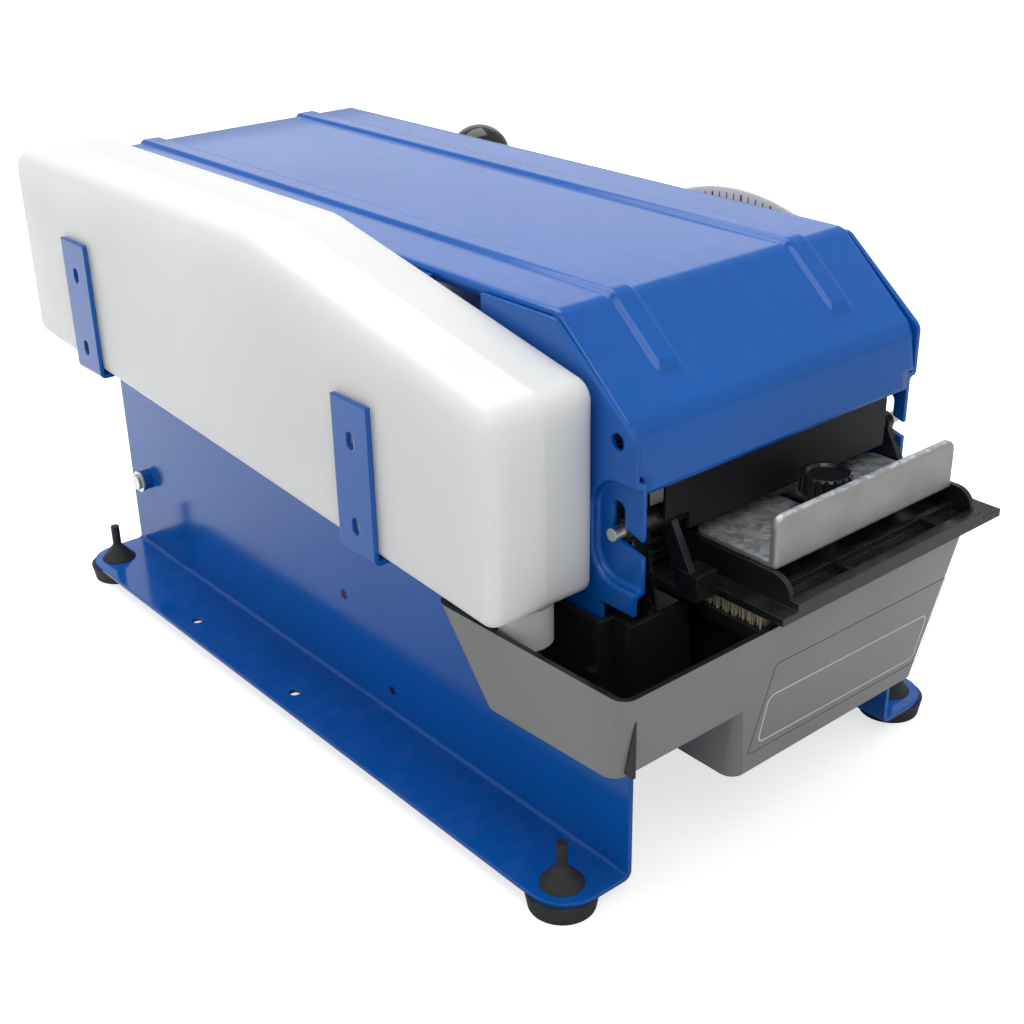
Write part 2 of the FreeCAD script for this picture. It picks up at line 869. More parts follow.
    tip = mirrored(side, outer_x + s.flange_width)
    round_edges(body, corner_edges(2, [(tip, front_edge), (tip, front_edge + length)]), s.flange_corner)
    round_edges(body, corner_edges(0, [
        (front_edge + nose_y, nose_top),
        (front_edge + s.plate_bend_y, s.plate_top),
        (front_edge + length, s.plate_top),
    ]), s.plate_corner)
    root = mirrored(side, outer_x)
    heel = mirrored(side, inner_x)
    round_edges(body, corner_edges(1, [(root, s.flange_top)]), s.bend_radius)
    round_edges(body, corner_edges(1, [(heel, flange_bottom)]), s.bend_radius + s.sheet)
    return keep(body, label)


def gear_cover_screws():
    """Centres of the gear cover's four screws, one near each corner."""
    inset_by = s.gear_cover_round / 2
    return [
        (y, z)
        for y in (s.gear_cover_front_y + inset_by, s.gear_cover_rear_y - inset_by)
        for z in (s.gear_cover_bottom + inset_by, s.gear_cover_top - inset_by)
    ]


tank_rest_top = s.well_bottom - s.touch_gap
tank_rest_screw_z = tank_rest_top - s.tank_rest_drop

side_plate("left_side_plate", -1)
side_plate("right_side_plate", 1)


# Rubber feet, pulled through the flanges
for side, side_name in ((-1, "left"), (1, "right")):
    for y, end_name in zip(foot_y, ("front", "rear")):
        cone_foot = s.flange_top + s.touch_gap
        cone_top = cone_foot + s.foot_cone_height
        foot = turned([
            (0, 0),
            (0, s.foot_base_radius),
            (flange_bottom - s.touch_gap, s.foot_radius),
            (flange_bottom, s.foot_radius - s.touch_gap),
            (flange_bottom, s.foot_neck_radius),
            (s.flange_top, s.foot_neck_radius),
            (s.flange_top, s.foot_cone_radius),
            (cone_foot, s.foot_cone_radius),
            (cone_top, s.foot_tail_radius),
            (cone_top + s.foot_tail_height, s.foot_tail_radius),
            (cone_top + s.foot_tail_height, 0),
        ], "Z", mirrored(side, foot_x), y)
        keep(foot, f"rubber_foot_{end_name}_{side_name}")


# Cross pieces between the side plates
def cross_rod(radius, y, z):
    return rod("X", radius, -inner_x, inner_width, y=y, z=z)


def shouldered_rod(radius, y, z):
    """A cross rod whose thinner ends are fixed in the holes of the plates."""
    return joined(cross_rod(radius, y, z), rod("X", s.screw_radius, -outer_x, s.frame_width, y=y, z=z))


keep(grouped(
    shouldered_rod(s.tie_radius, s.front_tie_y, s.front_tie_z),
    cross_rod(s.tie_radius, rear_tie_y, s.rear_tie_z),
), "tie_rods")
keep(grouped(
    shouldered_rod(s.guide_rod_radius, s.guide_rod_front_y, s.guide_rod_z),
    shouldered_rod(s.guide_rod_radius, s.guide_rod_rear_y, s.guide_rod_z),
), "guide_rods")
keep(rod("X", s.hinge_radius, -outer_x, s.frame_width, y=hinge_y, z=s.hinge_z), "cover_hinge_rod")


def frame_screw(side, y, z, under_head):
    """A pan-head screw from outside; its shank ends at the plate's inner face."""
    shank = outward(side, inner_x, outer_x + under_head)
    head = outward(side, outer_x + under_head, outer_x + under_head + s.screw_head_height)
    return joined(
        rod("X", s.screw_radius, shank[0], s.sheet + under_head, y=y, z=z),
        rod("X", s.screw_head_radius, head[0], s.screw_head_height, y=y, z=z),
    )


def bracket_screw(y, z):
    """A screw with its head inside the left plate, which holds a strap outside."""
    return joined(
        rod("X", s.screw_radius, -outer_x - s.sheet, s.sheet * 2, y=y, z=z),
        rod("X", s.screw_head_radius, -inner_x, s.screw_head_height, y=y, z=z),
    )


def cover_screw(y, z):
    """A long screw through the gear cover into the right plate."""
    return joined(
        rod("X", s.screw_radius, inner_x, s.sheet + s.gear_cover_depth, y=y, z=z),
        rod("X", s.screw_head_radius, outer_x + s.gear_cover_depth, s.screw_head_height, y=y, z=z),
    )


spacer_and_washer = s.rear_spacer_length + s.washer_thickness
keep(grouped(*[
    cut(
        rod("X", s.rear_spacer_radius, outward(side, outer_x, outer_x + s.rear_spacer_length)[0],
            s.rear_spacer_length, y=rear_tie_y, z=s.rear_tie_z),
        rod("X", screw_hole, outward(side, inner_x, outer_x + spacer_and_washer)[0],
            s.sheet + spacer_and_washer, y=rear_tie_y, z=s.rear_tie_z),
    )
    for side in (-1, 1)
]), "rear_spacers")
keep(grouped(*[
    cut(
        rod("X", s.washer_radius,
            outward(side, outer_x + s.rear_spacer_length, outer_x + spacer_and_washer)[0],
            s.washer_thickness, y=rear_tie_y, z=s.rear_tie_z),
        rod("X", screw_hole, outward(side, inner_x, outer_x + spacer_and_washer)[0],
            s.sheet + spacer_and_washer, y=rear_tie_y, z=s.rear_tie_z),
    )
    for side in (-1, 1)
]), "rear_washers")
bar_screws = [(cutter_bar_middle_y, cutter_bar_middle_z), (cutter_bar_middle_y, bed_middle_z)]
keep(grouped(
    *[frame_screw(side, rear_tie_y, s.rear_tie_z, spacer_and_washer) for side in (-1, 1)],
    *[frame_screw(side, y, z, 0) for side in (-1, 1) for y, z in bar_screws],
    *[bracket_screw(y, z) for start, rise in bracket_places.values() for y, z in bracket_screws(start)],
    *[cover_screw(y, z) for y, z in gear_cover_screws()],
    frame_screw(1, s.tank_rest_length / 2, tank_rest_screw_z, 0),
), "pan_head_screws")


# Top cover: a folded sheet with side lips, pressed ribs and two hinge ears
cover_half = inner_x - s.cover_gap
cover_rear = s.plate_length - s.cover_rear_inset
cover_line = [
    (cover_rear, s.cover_top - s.cover_skirt),
    (cover_rear, s.cover_top),
    (s.cover_bend_y, s.cover_top),
    (s.cover_slope_y, cover_slope_z),
    (s.cover_lip_y, cover_lip_z),
]


def band(line, near_side, far_side):
    """The strip between two lines at given distances inside a line."""
    return inset(line, near_side) + inset(line, far_side)[::-1]


def top_cover():
    body = new_body()
    drawing = sketch_on(body, "YZ_Plane")
    polygon(drawing, yz(band(cover_line, as_size(0), s.cover_side_depth)))
    extrude(body, drawing, cover_half * 2, midplane=True)
    drawing = sketch_on(body, "YZ_Plane")
    polygon(drawing, yz(band(cover_line, s.cover_sheet, s.cover_side_depth + s.overrun)))
    extrude(body, drawing, (cover_half - s.cover_sheet) * 2, "Pocket", midplane=True)
    round_edges(body, corner_edges(0, [
        (front_edge + y, z) for y, z in cover_line[1:4]
    ]), s.bend_radius * 2)
    rib_end = (
        s.cover_bend_y + (s.cover_slope_y - s.cover_bend_y) * s.rib_end_share,
        s.cover_top + (cover_slope_z - s.cover_top) * s.rib_end_share,
    )
    crest_end = (rib_end[0] + s.rib_rise * 2, rib_end[1] + s.rib_rise * 2 * cover_pitch)
    ground = [(cover_rear, s.cover_top), (s.cover_bend_y, s.cover_top)]
    crest = inset(ground + [crest_end], -s.rib_rise)
    bottom = inset(ground + [rib_end], s.cover_sheet / 2)
    for side in (-1, 1):
        drawing = sketch_on(body, "YZ_Plane", mirrored(side, rib_x))
        polygon(drawing, yz(crest + [rib_end] + bottom[::-1]))
        extrude(body, drawing, s.rib_width, midplane=True)
    ears = []
    for side in (-1, 1):
        ends = outward(side, rib_x, rib_x + s.hinge_ear_width)
        ears.append(rod("X", s.hinge_ear_radius, ends[0], s.hinge_ear_width, y=hinge_y, z=s.hinge_z))
        ears.append(block(
            ends,
            (hinge_y, cover_rear - s.cover_sheet / 2),
            (s.hinge_z - s.hinge_ear_radius, s.hinge_z + s.hinge_ear_radius),
        ))
    bore = rod("X", s.hinge_radius + s.fit_gap, -outer_x, s.frame_width, y=hinge_y, z=s.hinge_z)
    reliefs = [
        block(
            outward(side, inner_x - s.dish_depth - s.touch_gap * 2, outer_x),
            (-s.overrun, s.dish_rear + s.sheet + s.touch_gap),
            (cover_lip_z - s.overrun, dish_top + s.sheet + s.touch_gap * 2),
        )
        for side in (-1, 1)
    ]
    return keep(cut(joined(body, *ears), bore, *reliefs), "top_cover")


cover_pitch = (s.cover_top - cover_slope_z) / (s.cover_bend_y - s.cover_slope_y)
top_cover()


# Water bottle with its screwed valve, hung in two brackets on the left side plate
def water_bottle():
    body = new_body()
    profile = [
        (s.bottle_front_y, bottle_front_low),
        (s.bottle_rear_y, bottle_rear_low),
        (s.bottle_rear_y, s.bottle_top),
        (s.bottle_bend_y, s.bottle_top),
        (s.bottle_front_y, bottle_front_high),
    ]
    slab(body, "YZ_Plane", yz(profile), -bottle_outer, bottle_outer - bottle_inner)
    round_edges(body, corner_edges(0, [
        (front_edge + y, z) for y, z in (profile[0], profile[1], profile[2], profile[4])
    ]), s.bottle_nose_round)
    round_edges(body, lambda edge: (
        near(edge.BoundBox.XLength, 0) and near(abs(edge.BoundBox.XMin), bottle_outer.value)
    ), s.bottle_round)
    neck = rod("Z", s.bottle_neck_radius, neck_bottom, bottle_front_low + s.bottle_round - neck_bottom,
               x=-valve_x, y=s.valve_y)
    return keep(joined(body, neck), "water_bottle")


valve_top = bottle_front_low - s.touch_gap
valve_bottom = valve_top - s.valve_length
neck_bottom = valve_bottom + s.tank_wall + s.touch_gap
valve_pin_bottom = tray_bottom + s.tank_wall + s.touch_gap
water_bottle()
keep(turned([
    (valve_pin_bottom, 0),
    (valve_pin_bottom, s.valve_pin_radius),
    (valve_bottom, s.valve_pin_radius),
    (valve_bottom, s.valve_radius - s.tank_wall / 2),
    (valve_bottom + s.tank_wall / 2, s.valve_radius),
    (valve_top, s.valve_radius),
    (valve_top, s.bottle_neck_radius + s.fit_gap),
    (valve_bottom + s.tank_wall, s.bottle_neck_radius + s.fit_gap),
    (valve_bottom + s.tank_wall, 0),
], "Z", -valve_x, s.valve_y), "bottle_valve")


def bottle_bracket(end_name, y, rise):
    """A strap that goes down the side plate, under the bottle and up its outer face."""
    floor = bracket_floor(y)
    body = new_body()
    profile = [
        (-side_reach, floor - s.sheet),
        (-outer_x, floor - s.sheet),
        (-outer_x, floor + s.bracket_drop),
        (-outer_x - s.sheet, floor + s.bracket_drop),
        (-outer_x - s.sheet, floor),
        (-side_reach + s.sheet, floor),
        (-side_reach + s.sheet, floor + rise),
        (-side_reach, floor + rise),
    ]
    drawing = sketch_on(body, "XZ_Plane", -(front_edge + y))
    polygon(drawing, profile)
    extrude(body, drawing, s.bracket_width, reverse=True)
    outer_top = mirrored(-1, side_reach)
    round_edges(body, corner_edges(1, [
        (-side_reach, floor - s.sheet), (-outer_x, floor - s.sheet),
    ]), s.bend_radius + s.sheet / 2)
    middle = y + s.bracket_width / 2
    half = s.bracket_slot_half_width
    tools = []
    for low in (s.bracket_slot_low, s.bracket_slot_low + s.bracket_slot_pitch):
        height = floor - s.sheet + low
        straight = s.bracket_slot_length - half * 2
        depth = s.sheet + s.overrun
        start = outer_top - s.overrun / 2
        tools.append(rod("X", half, start, depth, y=middle, z=height))
        tools.append(rod("X", half, start, depth, y=middle, z=height + straight))
        tools.append(block(
            (start, start + depth), (middle - half, middle + half), (height, height + straight)))
    for screw_y, screw_z in bracket_screws(y):
        tools.append(rod("X", screw_hole, -outer_x - s.sheet * 2, s.sheet * 3, y=screw_y, z=screw_z))
    return keep(cut(body, *tools), f"bottle_bracket_{end_name}")


for end_name, (bracket_y, bracket_rise) in bracket_places.items():
    bottle_bracket(end_name, bracket_y, bracket_rise)


# Water tank: a shallow tray on the left, open to a deep well for the brush
def loft(body, low, high, low_z, high_z, kind):
    drawings = []
    for points, height in ((low, low_z), (high, high_z)):
        drawing = sketch_on(body, "XY_Plane", height)
        polygon(drawing, xy(points))
        drawings.append(drawing)
    feature = body.newObject(f"PartDesign::{kind}Loft", kind)
    feature.Profile = drawings[0]
    feature.Sections = [drawings[1]]
    feature.Ruled = True
    return feature


def draft_at(height, draft):
    """How far a wall that leans by draft over the well's height has come in at a height."""
    return draft * (s.tank_rim - height) / (s.tank_rim - s.well_bottom)


def well_outline(height, wall):
    left = -well_left + draft_at(height, s.well_left_draft) + wall
    right = well_right - draft_at(height, s.well_right_draft) - wall
    front = -s.well_front + draft_at(height, s.well_front_draft) + wall
    rear = s.well_rear - draft_at(height, s.well_rear_draft) - wall
    return [(left, front), (right, front), (right, rear), (left, rear)]


def tray_outline(height, wall, run_in):
    """The tray's outline; it goes round the left side plate and runs into the well."""
    share = (s.tank_rim - height) / (s.tank_rim - tray_bottom)
    lean = s.tray_draft * share
    front = -s.well_front + draft_at(height, s.well_front_draft) + wall
    right = -well_left + run_in
    inner_rear = s.tray_inner_rear - wall
    plate_inside = -inner_x + s.tank_slot_gap + s.tank_plate_gap - wall
    plate_outside = -outer_x - s.tank_plate_gap - wall
    slot_front = s.notch_depth - s.tank_slot_gap - wall
    return [
        (-tray_left_front + lean + wall, front),
        (right, front),
        (right, inner_rear),
        (plate_inside, inner_rear),
        (plate_inside, slot_front),
        (plate_outside, slot_front),
        (plate_outside, s.tray_rear - s.tray_rear_draft * share - wall),
        (-tray_left_rear + lean + wall, s.tray_rear - s.tray_rear_draft * share - wall),
    ]


def water_tank():
    body = new_body()
    wall = s.tank_wall
    loft(body, well_outline(s.well_bottom, as_size(0)), well_outline(s.tank_rim, as_size(0)),
         s.well_bottom, s.tank_rim, "Additive")
    run_in = s.well_left_draft + wall * 2
    loft(body, tray_outline(tray_bottom, as_size(0), run_in),
         tray_outline(s.tank_rim, as_size(0), run_in), tray_bottom, s.tank_rim, "Additive")
    floor = s.well_bottom + wall
    loft(body, well_outline(floor, wall), well_outline(s.tank_rim, wall),
         floor, s.tank_rim, "Subtractive")
    tray_floor = tray_bottom + wall
    loft(body, tray_outline(tray_floor, wall, run_in * 2),
         tray_outline(s.tank_rim, wall, run_in * 2), tray_floor, s.tank_rim, "Subtractive")
    drawing = sketch_on(body, "XY_Plane", tray_bottom + wall / 2)
    for y in (s.tray_stud_front_y, s.tray_stud_front_y + s.tray_stud_pitch):
        circle(drawing, -tray_stud_x + (y - s.tray_stud_front_y) / 2, front_edge + y,
               s.tray_stud_radius)
    extrude(body, drawing, wall / 2 + s.tray_stud_height)
    return keep(body, "water_tank")


water_tank()
rest_outer = (inner_x - s.tank_rest_width, inner_x)
keep(joined(
    block(rest_outer, (0, s.tank_rest_length), (tank_rest_top - s.sheet, tank_rest_top)),
    block((inner_x - s.sheet, inner_x), (0, s.tank_rest_length),
          (tank_rest_screw_z - s.tank_rest_drop / 2, tank_rest_top)),
), "tank_rest")


# Brush that carries water from the well up to the tape
brush_holder_bottom = s.well_bottom + s.tank_wall + s.touch_gap
brush_end_inset = s.tank_wall * 2
keep(joined(
    block((-brush_left + brush_end_inset, brush_right - brush_end_inset),
          (-s.brush_front + s.brush_holder_inset, s.brush_rear + s.brush_holder_inset / 2),
          (brush_holder_bottom, s.brush_holder_top)),
    block((-brush_left - s.tank_wall / 2, brush_right + s.tank_wall / 2),
          (-s.brush_front - s.touch_gap, s.brush_rear + s.brush_holder_inset / 2),
          (s.brush_holder_top - s.brush_flange, s.brush_holder_top)),
), "brush_holder")
keep(block((-brush_left, brush_right), (-s.brush_front, s.brush_rear),
           (s.brush_holder_top, hold_bottom - s.touch_gap)), "brush_bristles")


# Hold-down plate, which presses the tape on the brush and swings on a pin in the J slots
pin_half = outer_x - s.pin_inset
keep(rod("X", s.pin_radius, -pin_half, pin_half * 2, y=s.pin_y, z=pin_z), "hold_down_pin")


def hold_down_plate():
    floor_top = hold_bottom + s.hold_floor
    band_rear = -s.front_reach + s.hold_band_width
    solids = [
        block((-hold_left, hold_front_right), (-s.front_reach, -s.hold_front_step),
              (hold_bottom, floor_top)),
        block((-hold_left, hold_right), (-s.hold_front_step, s.hold_rear),
              (hold_bottom, floor_top)),
        block((-hold_wall_left, hold_right), (-s.front_reach, band_rear),
              (floor_top, hold_band_top)),
        block((-hold_wall_left, hold_wall_right + s.hold_wall),
              (s.hold_rear - s.hold_wall, s.hold_rear), (floor_top, hold_post_top)),
        block((-hold_left - s.hold_post_width, -hold_left), (-s.hold_post_front, s.hold_post_rear),
              (hold_bottom, hold_post_top)),
        block((-hold_left - s.hold_post_width, -hold_left), (-s.hold_post_front, s.hold_ledge_rear),
              (hold_bottom, floor_top)),
        rod("Z", s.hold_boss_radius, floor_top, hold_wall_top - floor_top,
            x=s.knob_x, y=-s.knob_y),
    ]
    for wall_x in (-hold_wall_left, hold_wall_right):
        wall = new_body()
        slab(wall, "YZ_Plane", yz([
            (-s.hold_wall_front, floor_top),
            (s.hold_rear, floor_top),
            (s.hold_rear, hold_wall_top),
            (-s.hold_wall_front, hold_wall_top),
        ]), wall_x, s.hold_wall)
        round_edges(wall, corner_edges(0, [
            (front_edge - s.hold_wall_front, hold_wall_top)]), s.hold_wall_round)
        solids.append(wall)
    for arm_x in (-hold_arm_left, hold_arm_right):
        arm = new_body()
        slab(arm, "YZ_Plane", yz([
            (-s.hold_post_front, floor_top),
            (s.hold_post_rear, floor_top),
            (s.pin_y + s.hold_arm_half_height, pin_z),
            (s.pin_y - s.hold_arm_half_height, pin_z),
        ]), arm_x, s.hold_arm_width)
        solids.append(arm)
    hub_end = inner_x - s.dish_depth - s.touch_gap
    hubs = [
        (-hub_end, hub_end - hold_arm_left + s.hold_arm_width),
        (hold_arm_right, hub_end - hold_arm_right),
    ]
    for start, length in hubs:
        solids.append(rod("X", s.hold_hub_radius, start, length, y=s.pin_y, z=pin_z))
    bays = []
    bay_shares = (0, s.hold_first_bay_share, s.hold_second_bay_share, 1)
    bay_width = hold_wall_right + hold_wall_left - s.hold_band_wall
    for low, high in zip(bay_shares, bay_shares[1:]):
        bays.append(block(
            (bay_width * low - hold_wall_left + s.hold_band_wall * 2,
             bay_width * high - hold_wall_left + s.hold_band_wall),
            (-s.front_reach + s.hold_band_wall * 2, band_rear - s.hold_band_wall),
            (floor_top, hold_band_top + s.overrun),
        ))
    bore = s.pin_radius + s.fit_gap
    bores = [
        rod("X", bore, start - s.overrun, length + s.overrun * 2, y=s.pin_y, z=pin_z)
        for start, length in hubs
    ]
    bores.append(rod("Z", s.knob_stud_radius + s.fit_gap, hold_bottom - s.overrun,
                     hold_wall_top - hold_bottom + s.overrun * 2, x=s.knob_x, y=-s.knob_y))
    return keep(cut(joined(*solids), *bays, *bores), "hold_down_plate")


hold_down_plate()


# Steel weight plate on the hold-down plate, clamped by a thumb knob through its slot
weight_bottom = hold_wall_top + s.touch_gap
weight_top = weight_bottom + s.weight_sheet
weight_bar_top = weight_bottom + s.weight_bar_height


def weight_plate():
    body = new_body()
    slab(body, "YZ_Plane", yz([
        (s.weight_rear, weight_bottom),
        (-s.weight_front, weight_bottom),
        (-s.weight_front, weight_bar_top),
        (-s.weight_front + s.weight_bar_depth, weight_bar_top),
        (-s.weight_front + s.weight_bar_depth, weight_top),
        (s.weight_rear, weight_top),
    ]), -weight_left, weight_left + weight_right)
    sides = (-weight_left, weight_right)
    round_edges(body, corner_edges(1, [(x, weight_bar_top) for x in sides]), s.weight_round)
    round_edges(body, corner_edges(2, [(x, front_edge + s.weight_rear) for x in sides]), s.weight_round)
    bar_y = (-s.weight_front, -s.weight_front + s.weight_bar_depth)
    round_edges(body, corner_edges(0, [(front_edge + y, weight_bar_top) for y in bar_y]),
                s.weight_edge_round)
    half = s.weight_slot_half_width
    depth = s.weight_sheet + s.overrun
    tools = [
        rod("Z", half, weight_bottom - s.overrun / 2, depth, x=s.knob_x, y=y)
        for y in (-s.weight_slot_front, s.weight_slot_rear)
    ]
    tools.append(block(
        (s.knob_x - half, s.knob_x + half),
        (-s.weight_slot_front, s.weight_slot_rear),
        (weight_bottom - s.overrun / 2, weight_bottom - s.overrun / 2 + depth),
    ))
    return keep(cut(body, *tools), "weight_plate")


weight_plate()
knob_bottom = weight_top + s.touch_gap
head_bottom = knob_bottom + s.knob_neck_height
stud_bottom = hold_bottom + s.touch_gap
knob_top = head_bottom + s.knob_head_height


def thumb_knob():
    body = turned([
        (stud_bottom, 0),
        (stud_bottom, s.knob_stud_radius),
        (knob_bottom, s.knob_stud_radius),
        (knob_bottom, s.knob_neck_radius),
        (head_bottom, s.knob_neck_radius),
        (head_bottom, s.knob_radius - s.knob_flute_radius),
        (head_bottom + s.knob_flute_radius, s.knob_radius),
        (knob_top - s.knob_flute_radius, s.knob_radius),
        (knob_top, s.knob_radius - s.knob_flute_radius),
        (knob_top, s.knob_dish_radius),
        (knob_top - s.knob_dish_depth, s.knob_dish_radius - s.knob_dish_depth),
        (knob_top - s.knob_dish_depth, 0),
    ], "Z", s.knob_x, -s.knob_y)
    drawing = sketch_on(body, "XY_Plane", head_bottom - s.overrun / 2)
    circle(drawing, s.knob_radius, 0, s.knob_flute_radius)
    flute = extrude(body, drawing, knob_top - head_bottom + s.overrun, "Pocket", reverse=True)
    axis = [item for item in body.Origin.OriginFeatures if item.Role == "Z_Axis"][0]
    ring = body.newObject("PartDesign::PolarPattern", "Flutes")
    ring.Originals = [flute]
    ring.Axis = (axis, [""])
    ring.Angle = 360
    ring.Occurrences = KNOB_FLUTES
    body.Tip = ring
    return keep(body, "thumb_knob")


thumb_knob()


# Cutter: fixed blade on a cross bar behind the guard, and a blade that rises on two posts
bar_y = (s.cutter_bar_y, s.cutter_bar_y + s.cutter_bar_depth)
guard_bottom = weight_top + s.guard_above_weight
guard = new_body()
slab(guard, "YZ_Plane", yz([
    (s.guard_y, guard_bottom),
    (s.guard_y + s.guard_sheet, guard_bottom),
    (s.guard_y + s.guard_sheet, cutter_bar_top),
    (bar_y[1], cutter_bar_top),
    (bar_y[1], guard_top),
    (s.guard_y, guard_top),
]), -guard_left, guard_left + guard_right)
arm_notch = block((-guard_left - s.overrun, -guard_notch), (s.guard_y - s.overrun, s.guard_y + s.overrun),
                  (guard_bottom - s.overrun, pin_z + s.guard_notch_above_pin))
keep(cut(guard, arm_notch), "cutter_guard")


def post(radius, start, length):
    return [rod("Z", radius, start, length, x=mirrored(side, post_x), y=s.post_y) for side in (-1, 1)]


post_seat = s.cutter_bar_depth / 2
post_bore = s.post_radius + s.fit_gap
keep(cut(
    block((-inner_x, inner_x), bar_y, (cutter_bar_bottom, cutter_bar_top)),
    *post(post_bore, cutter_bar_bottom - s.overrun, post_seat + s.overrun),
), "cutter_bar")
keep(cut(
    block((-inner_x, inner_x), (bar_y[0], s.chute_y + s.chute_sheet), (s.bed_bottom, s.bed_top)),
    *post(post_bore, s.bed_top - post_seat, post_seat + s.overrun),
), "cutter_bed")
post_bottom = s.bed_top - post_seat
keep(grouped(*post(s.post_radius, post_bottom, cutter_bar_bottom + post_seat - post_bottom)),
     "blade_posts")
keep(block((-blade_half_width, blade_half_width), (bar_y[0] - s.blade_sheet, bar_y[0]),
           (s.fixed_blade_bottom, fixed_blade_top)), "fixed_blade")
blade_rear = bar_y[0] - s.blade_sheet - s.blade_gap
moving = new_body()
drawing = sketch_on(moving, "XZ_Plane", -(front_edge + blade_rear))
polygon(drawing, [
    (-blade_half_width, s.moving_blade_bottom),
    (blade_half_width, s.moving_blade_bottom),
    (blade_half_width, s.moving_blade_top - s.blade_shear),
    (-blade_half_width, s.moving_blade_top),
])
extrude(moving, drawing, s.blade_sheet)
keep(moving, "moving_blade")
keep(cut(
    block((-carrier_half_width, carrier_half_width), (blade_rear, blade_rear + s.carrier_depth),
          (s.carrier_bottom, s.carrier_top)),
    *post(post_bore, s.carrier_bottom - s.overrun, s.carrier_top - s.carrier_bottom + s.overrun * 2),
), "blade_carrier")


# Two coil springs round the posts, which push the blade back down
def coil(centre_x, centre_y, low, high):
    """One unbroken wire along a helix, as two arcs for each quarter turn."""
    radius = s.spring_coil_radius.value
    quarters = SPRING_COILS * 4
    climb = (high - low) / quarters
    slope = climb / (math.pi / 2)

    def at(step):
        angle = step * math.pi / 2
        point = FreeCAD.Vector(
            centre_x + radius * math.cos(angle), centre_y + radius * math.sin(angle), low + climb * step)
        heading = FreeCAD.Vector(-radius * math.sin(angle), radius * math.cos(angle), slope)
        return point, heading.normalize()

    def arc(start, corner, end):
        middle = (start + end) * 0.5
        rise = corner - middle
        half = (end - start).Length / 2
        return Part.Arc(start, middle + rise * (half / (half + (corner - start).Length)), end)

    edges = []
    for step in range(quarters):
        (start, leaving), (end, arriving) = at(step), at(step + 1)
        chord = end - start
        both = leaving + arriving
        along = chord.dot(both)
        square = 2 * (1 - leaving.dot(arriving))
        reach = (-along + math.sqrt(along * along + square * chord.dot(chord))) / square
        first = start + leaving * reach
        second = end - arriving * reach
        meeting = (first + second) * 0.5
        edges.append(arc(start, first, meeting).toShape())
        edges.append(arc(meeting, second, end).toShape())
    path = Part.Wire(edges)
    point, heading = at(0)
    section = Part.Wire([Part.Circle(point, heading, s.spring_wire_radius.value).toShape()])
    return path.makePipeShell([section], True, False)


springs = doc.addObject("Part::Feature", "Springs")
wire = s.spring_wire_radius.value
spring_height = cutter_bar_bottom.value - SIZES["carrier_top"] - (wire + SIZES["touch_gap"]) * 2
print(f"least gap between the turns of a spring: {spring_height / SPRING_COILS - wire * 2:.2f} mm")
springs.Shape = Part.makeCompound([
    coil(x, s.post_y.value, s.carrier_top.value + wire + s.touch_gap.value,
         cutter_bar_bottom.value - wire - s.touch_gap.value)
    for x in (-post_x.value, post_x.value)
])
bind(springs, "Placement.Base.y", front_edge)
keep(springs, "blade_return_springs")


# Feed roller, pressure roller and the sheet that leads the tape to the cutter
def bush(side, y, z, bore, ends):
    """A flanged bush; ends are (place on X, radius) from the inside outward."""
    points = [(ends[0][0], bore)] + ends + [(ends[-1][0], bore)]
    return turned([(mirrored(side, x), radius) for x, radius in points], "X", 0, y, z)


def flanged_ends(radius):
    return [
        (inner_x - s.bush_flange, s.bush_flange_radius),
        (inner_x, s.bush_flange_radius),
        (inner_x, radius),
        (outer_x, radius),
    ]


keep(grouped(
    bush(-1, feed_y, feed_z, feed_bore, flanged_ends(feed_bush_radius)),
    bush(1, feed_y, feed_z, feed_bore, flanged_ends(feed_bush_radius)),
    bush(1, idler_y, idler_z, idler_bore, flanged_ends(idler_bush_radius)),
), "shaft_bushes")
keep(bush(1, s.lever_y, s.lever_z, lever_bore, [
    (lever_bush_inner_x, s.lever_bush_radius),
    (inner_x - s.lever_bush_flange, s.lever_bush_radius),
    (inner_x - s.lever_bush_flange, s.lever_bush_flange_radius),
    (inner_x, s.lever_bush_flange_radius),
    (inner_x, s.lever_bush_radius),
    (outer_x, s.lever_bush_radius),
]), "lever_bush")

shaft_half = outer_x + s.shaft_overhang / 2
keep(rod("X", s.feed_shaft_radius, -shaft_half, shaft_half * 2, y=feed_y, z=feed_z), "feed_shaft")
core_radius = s.feed_roller_radius - s.feed_tyre_thickness
roller_ends = (-s.feed_roller_half_width, s.feed_roller_half_width)
keep(turned([
    (roller_ends[0], feed_bore), (roller_ends[1], feed_bore),
    (roller_ends[1], core_radius), (roller_ends[0], core_radius),
], "X", 0, feed_y, feed_z), "feed_roller_core")
keep(turned([
    (roller_ends[0], core_radius), (roller_ends[1], core_radius),
    (roller_ends[1], s.feed_roller_radius), (roller_ends[0], s.feed_roller_radius),
], "X", 0, feed_y, feed_z), "feed_roller_tyre")

axle_bore = s.pressure_axle_radius + s.fit_gap
arm_end = s.pressure_arm_x + s.pressure_arm_width
axle_half = arm_end + s.shaft_overhang / 2
keep(turned([
    (-s.pressure_half_width, axle_bore), (s.pressure_half_width, axle_bore),
    (s.pressure_half_width, s.pressure_roller_radius),
    (-s.pressure_half_width, s.pressure_roller_radius),
], "X", 0, feed_y, pressure_z), "pressure_roller")
keep(rod("X", s.pressure_axle_radius, -axle_half, axle_half * 2, y=feed_y, z=pressure_z),
     "pressure_axle")
keep(rod("X", s.pressure_pivot_radius, -outer_x, s.frame_width,
         y=s.pressure_pivot_y, z=s.pressure_pivot_z), "pressure_pivot_rod")


